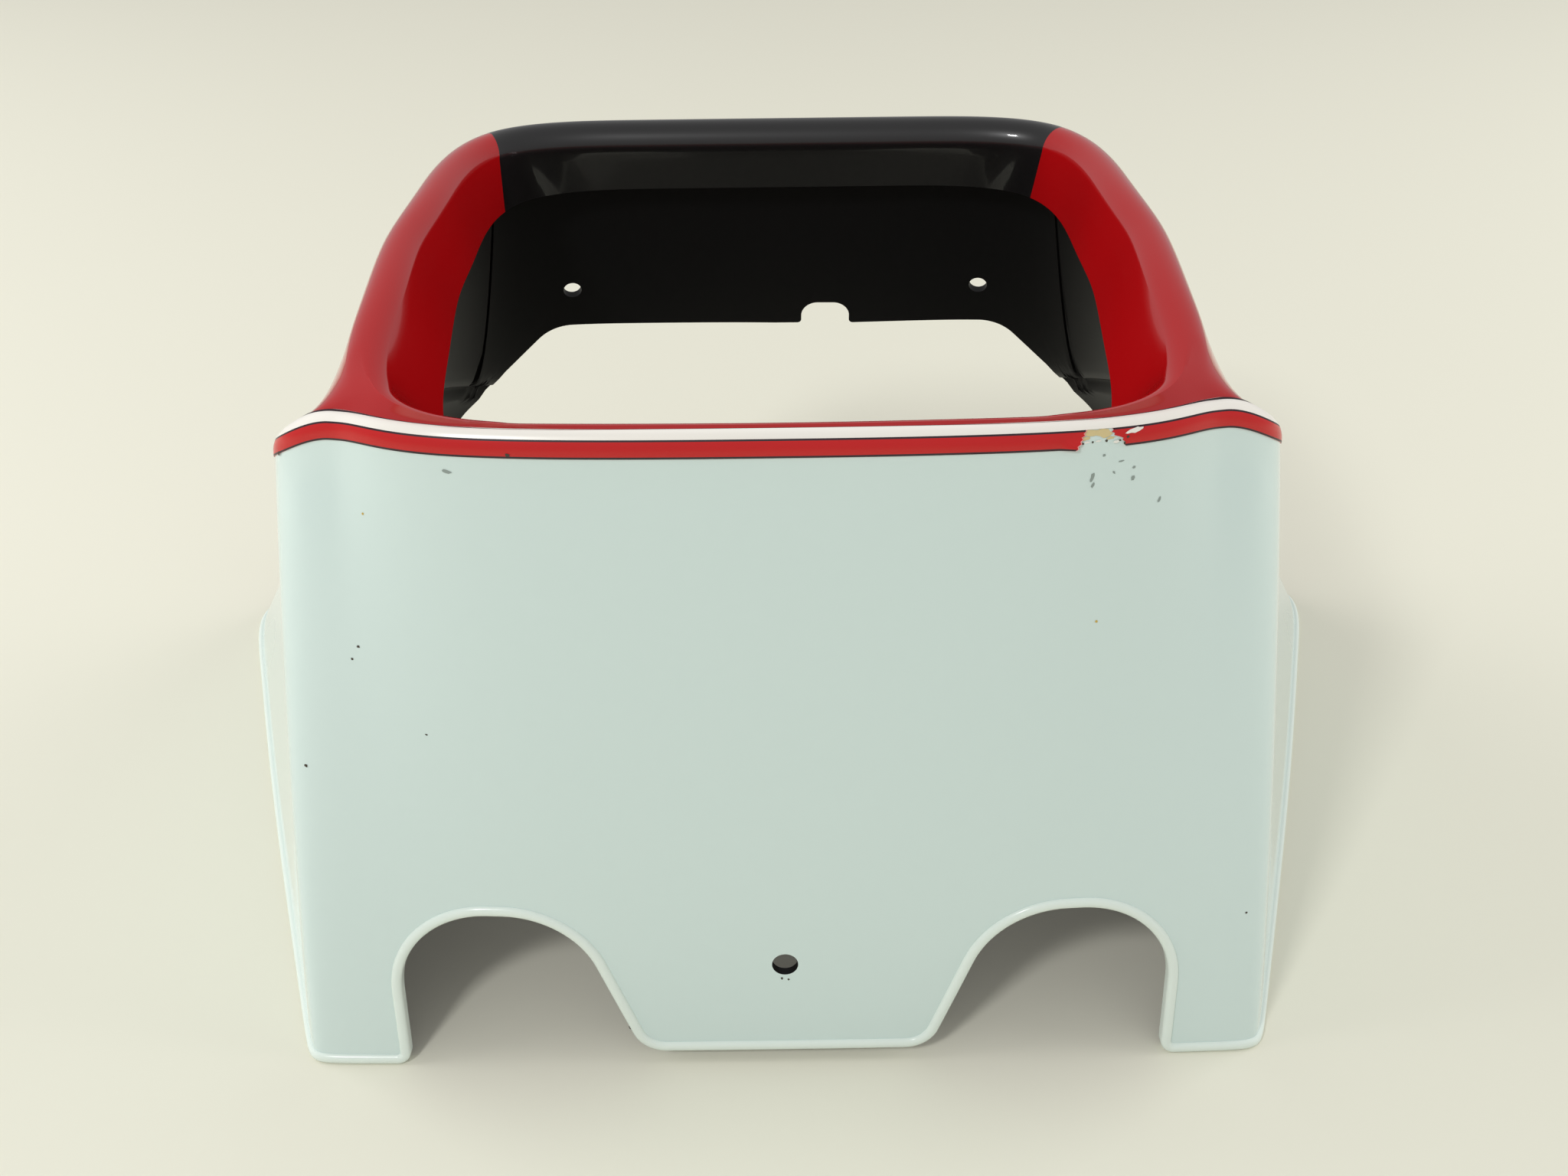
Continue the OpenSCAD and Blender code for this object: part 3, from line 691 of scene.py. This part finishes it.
def drill(target, places):
    """Cuts round holes [station, height, diameter] square to the wall."""
    points, faces = [], []
    for station, z, diameter in places:
        middle = placed(point_at(station, z))
        axis = Vector(skin_normal(station, level_at(station, z)))
        turn = axis.to_track_quat("Z", "Y").to_matrix()
        start, end = len(points), len(points) + HOLE_SIDES
        for depth in (-HOLE_DEPTH, HOLE_DEPTH):
            for side in range(HOLE_SIDES):
                angle = 2 * math.pi * side / HOLE_SIDES
                spot = Vector((diameter / 2 * math.cos(angle), diameter / 2 * math.sin(angle), depth))
                points.append(Vector(middle) + turn @ spot / 1000)
        faces.append(tuple(start + side for side in reversed(range(HOLE_SIDES))))
        faces.append(tuple(end + side for side in range(HOLE_SIDES)))
        for side in range(HOLE_SIDES):
            after = (side + 1) % HOLE_SIDES
            faces.append((start + side, start + after, end + after, end + side))
    cutter = mesh_object("cutter", points, faces, list(target.data.materials), [INSIDE_SLOT] * len(faces))
    cut = target.modifiers.new("holes", "BOOLEAN")
    cut.operation = "DIFFERENCE"
    cut.solver = "EXACT"
    cut.object = cutter
    depsgraph = bpy.context.evaluated_depsgraph_get()
    finished = bpy.data.meshes.new_from_object(target.evaluated_get(depsgraph))
    target.modifiers.clear()
    target.data = finished
    bpy.data.objects.remove(cutter)


rear_hole_station = station_of(REAR_HOLE_HALF, REAR_HOLE_HEIGHT, REAR_SEARCH)
drill(shell, [(0.0, TONGUE_HOLE_HEIGHT, TONGUE_HOLE),
              (rear_hole_station, REAR_HOLE_HEIGHT, REAR_HOLE),
              (STATIONS - rear_hole_station, REAR_HOLE_HEIGHT, REAR_HOLE)])
shell.data.set_sharp_from_angle(angle=SHARP_ANGLE)
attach(shell, "root")
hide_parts("fairing_shell")

# Trim tapes. The free edge leaves the shoulder whole as far back as this station.
whole = (COLUMNS[:, 2] < HALF) & np.isclose(LEVEL[:, len(UPPER) - 1], 1)
TAPE_END = float(COLUMNS[whole, 2].max())


def band(levels, start, end, columns, lift):
    """Points and faces of a thin closed strip on the skin. start and end are stations at each level."""
    share = np.linspace(0, 1, columns)[:, None]
    station = np.asarray(start)[None, :] * (1 - share) + np.asarray(end)[None, :] * share
    level = np.broadcast_to(levels, station.shape)
    base, normal = skin(station, level), skin_normal(station, level)
    top = base + normal * lift(station, level)[..., None]
    rows = len(levels)
    points = np.vstack([placed(top).reshape(-1, 3), placed(base).reshape(-1, 3)])
    under = rows * columns
    faces = quads(rows, columns, False, 0, False)
    upper_faces = len(faces)
    faces += quads(rows, columns, True, under, False)
    for column in range(columns - 1):
        here, there = column * rows, (column + 1) * rows
        for row, flip in ((0, False), (rows - 1, True)):
            side = (here + row, there + row, under + there + row, under + here + row)
            faces.append(side[::-1] if flip else side)
    for column, flip in ((0, True), (columns - 1, False)):
        for row in range(rows - 1):
            here = column * rows + row
            side = (here, here + 1, under + here + 1, under + here)
            faces.append(side[::-1] if flip else side)
    return points, faces, upper_faces


def tape_object(name, pieces, materials):
    """Joins strips (levels, start, end, columns, lift, slot of each row) into one tape."""
    points, faces, slots = [], [], []
    for levels, start, end, columns, lift, row_slots in pieces:
        more_points, more_faces, upper_faces = band(levels, start, end, columns, lift)
        offset = sum(len(piece_points) for piece_points in points)
        faces += [tuple(corner + offset for corner in face) for face in more_faces]
        slots += list(np.tile(row_slots, columns - 1)) + [0] * (len(more_faces) - upper_faces)
        points.append(more_points)
    obj = mesh_object(name, np.vstack(points), faces, materials, slots)
    obj.data.set_sharp_from_angle(angle=SHARP_ANGLE)
    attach(obj, "root")
    return obj


def flat_lift(station, level):
    return np.full(station.shape, TAPE)


# Levels of the rows of each tape, and the slot of each row: plain tape, dark border, torn edge
WHITE_LEVELS = np.array([2.1, 2.02, 1.9, 1.8, 1.7, 1.6, 1.53])
WHITE_SLOTS = [1, 0, 0, 0, 0, 0]
RED_LEVELS = np.array([1.53, 1.47, 1.42, 1.37, 1.32, 1.27, 1.22, 1.17, 1.12, 1.06, 1])
RED_SLOTS = [1, 0, 0, 0, 0, 0, 0, 0, 0, 1]
TORN_SLOTS = [2] * len(RED_SLOTS)

white_end = np.full(len(WHITE_LEVELS), TAPE_END)
white_tape = tape_object(
    "white_trim_tape",
    [(WHITE_LEVELS, -white_end, white_end, 700, flat_lift, WHITE_SLOTS)],
    [WHITE_TAPE, DARK_LINE])
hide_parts("white_stripe")

# The red tape is torn at the right front corner, and its lower corner there stands off the panel.
# The tear's two sides are stations, one for each level of the tape.
TEAR_LEFT = np.array([0.903, 0.900, 0.892, 0.897, 0.884, 0.888, 0.878, 0.880, 0.866, 0.868, 0.858])
TEAR_RIGHT = np.array([1.012, 1.018, 1.008, 1.024, 1.020, 1.046, 1.066, 1.060, 1.074, 1.068, 1.078])
CURL_HEIGHT, CURL_START, CURL_LENGTH, CURL_TOP, CURL_DEPTH = 1.1, 0.79, 0.08, 1.34, 0.3
CURL_STATIONS, TORN_STATIONS = 0.12, 0.004


def curled_lift(station, level):
    curled = smooth((station - CURL_START) / CURL_LENGTH) * smooth((CURL_TOP - level) / CURL_DEPTH)
    return TAPE + CURL_HEIGHT * curled


red_end = np.full(len(RED_LEVELS), TAPE_END)
curl, torn = TEAR_LEFT - CURL_STATIONS, TEAR_LEFT - TORN_STATIONS
red_tape = tape_object(
    "red_trim_tape",
    [(RED_LEVELS, -red_end, curl, 360, flat_lift, RED_SLOTS),
     (RED_LEVELS, curl, torn, 40, curled_lift, RED_SLOTS),
     (RED_LEVELS, torn, TEAR_LEFT, 3, curled_lift, TORN_SLOTS),
     (RED_LEVELS, TEAR_RIGHT, red_end, 330, flat_lift, RED_SLOTS)],
    [RED_TAPE, DARK_LINE, TORN_EDGE])
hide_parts("red_stripe")

# Wear: small flat marks on the skin [station, height, half width, half height, tilt, kind]
MARK_MATERIALS = [DIRT, SPECK, RESIDUE, SCUFF, WHITE_TAPE]
DIRTY, YELLOW, GLUE, RUBBED, WHITE = range(5)
MARKS = [
    # Scuffs under the tear
    (0.952, 196.3, 0.5, 1.5, -12, RUBBED), (0.962, 194.0, 0.4, 0.9, -25, RUBBED),
    (0.985, 202.2, 0.5, 0.4, 40, RUBBED), (1.075, 200.1, 0.9, 0.25, 5, RUBBED),
    (1.149, 197.9, 0.5, 0.4, 15, RUBBED), (1.155, 194.9, 0.6, 0.8, -5, RUBBED),
    (1.048, 197.1, 0.3, 0.5, 30, RUBBED), (1.357, 187.4, 0.4, 1.0, -20, RUBBED),
    (17.237, 205.6, 0.7, 0.5, 0, DIRTY),
    # Specks and chips of the panel
    (15.049, 193.5, 0.5, 0.8, 0, DIRTY), (15.374, 104.9, 0.7, 0.5, 0, DIRTY),
    (16.127, 144.3, 0.5, 0.4, 0, DIRTY), (16.055, 140.3, 0.4, 0.4, 0, DIRTY),
    (16.564, 119.3, 0.4, 0.3, 0, DIRTY), (16.978, 200.0, 1.6, 0.5, -15, RUBBED),
    (2.488, 51.3, 0.4, 0.4, 0, DIRTY), (16.300, 183.8, 0.4, 0.4, 0, YELLOW),
    (1.110, 153.6, 0.5, 0.4, 0, YELLOW),
    # Chips of the lip and round the hole
    (17.006, 55.6, 0.8, 0.3, 20, DIRTY), (17.112, 49.6, 0.4, 0.7, 20, DIRTY),
    (17.262, 14.4, 0.4, 0.9, 20, DIRTY), (17.501, 5.9, 1.0, 0.4, 0, DIRTY),
    (17.985, 33.6, 0.4, 0.5, 0, DIRTY), (0.015, 33.1, 0.4, 0.4, 30, DIRTY),
    # Glue and paint left by the torn tape
    (0.925, 208.7, 2.2, 0.9, 2, GLUE), (0.972, 208.3, 2.6, 1.2, -3, GLUE),
    (0.898, 207.3, 1.2, 0.5, 12, GLUE), (1.003, 207.0, 1.3, 0.4, 6, GLUE),
    (1.120, 208.3, 2.6, 0.7, 12, WHITE), (1.086, 206.9, 0.5, 0.4, 12, DIRTY),
    (0.905, 206.3, 0.9, 0.3, 0, WHITE), (0.949, 206.4, 0.8, 0.3, 0, WHITE),
    (1.030, 205.9, 0.9, 0.4, 0, WHITE), (0.885, 206.0, 0.5, 0.3, 0, DIRTY),
    (0.926, 206.2, 0.3, 0.3, 0, DIRTY), (0.985, 206.3, 0.4, 0.4, 20, DIRTY),
    (1.045, 206.2, 0.4, 0.3, 0, DIRTY), (1.070, 205.3, 0.3, 0.4, 0, DIRTY),
    (0.868, 205.0, 0.4, 0.4, 0, DIRTY),
]
MARK_CORNERS, MARK_LIFT, MARK_LIFT_ON_TAPE = 12, 0.08, 1.3 * TAPE


def wear_marks():
    """One piece with all the marks, each an uneven round patch."""
    rng = np.random.default_rng(7)
    points, faces, slots = [], [], []
    for station, z, half_width, half_height, tilt, kind in MARKS:
        here = point_at(station, z)
        level = float(level_at(station, z))
        normal = skin_normal(station, level)
        right = np.cross([0, 0, 1.0], normal)
        right /= np.linalg.norm(right)
        up = np.cross(normal, right)
        turn = math.radians(tilt)
        on_tape = level > 1 and station > TEAR_RIGHT[0] and kind in (DIRTY, WHITE)
        lift = MARK_LIFT_ON_TAPE if on_tape else MARK_LIFT
        start = len(points)
        for corner in range(MARK_CORNERS):
            angle = 2 * math.pi * corner / MARK_CORNERS
            size = rng.uniform(0.7, 1.15)
            x, y = half_width * size * math.cos(angle), half_height * size * math.sin(angle)
            x, y = x * math.cos(turn) - y * math.sin(turn), x * math.sin(turn) + y * math.cos(turn)
            points.append(placed(here + right * x + up * y + normal * lift))
        faces.append(tuple(range(start, start + MARK_CORNERS)))
        slots.append(kind)
    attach(mesh_object("wear_marks", points, faces, MARK_MATERIALS, slots), "root")


wear_marks()

FLOOR_HALF = 4
floor = mesh_object("floor", [(-FLOOR_HALF, -FLOOR_HALF, 0), (FLOOR_HALF, -FLOOR_HALF, 0),
                              (FLOOR_HALF, FLOOR_HALF, 0), (-FLOOR_HALF, FLOOR_HALF, 0)], [(0, 1, 2, 3)],
                    [material("floor", linear(226, 224, 208), 0.9)])

world = bpy.data.worlds.new("world")
bpy.context.scene.world = world
world.use_nodes = True
background = world.node_tree.nodes["Background"]
background.inputs["Color"].default_value = (1, 1, 1, 1)
background.inputs["Strength"].default_value = 0.52

LAMP_TARGET = (0, 0, 0.1)


def lamp(name, place, size, power):
    """A rectangular lamp, in metres and watts, turned to the object."""
    data = bpy.data.lights.new(name, "AREA")
    data.shape = "RECTANGLE"
    data.size, data.size_y = size
    data.energy = power
    light = bpy.data.objects.new(name, data)
    bpy.context.scene.collection.objects.link(light)
    light.location = place
    light.rotation_euler = (Vector(LAMP_TARGET) - Vector(place)).to_track_quat("-Z", "Y").to_euler()
    return light


# The side lamps are kept out of the glossy reflections
lamp("left", (-1.5, 0.3, 1.0), (1.4, 1.2), 15).visible_glossy = False
lamp("right", (1.5, 0.3, 0.9), (1.4, 1.2), 13.5).visible_glossy = False
lamp("front", (-0.75, -1.3, 1.5), (0.25, 0.25), 12)

bpy.context.scene.view_settings.view_transform = "Standard"
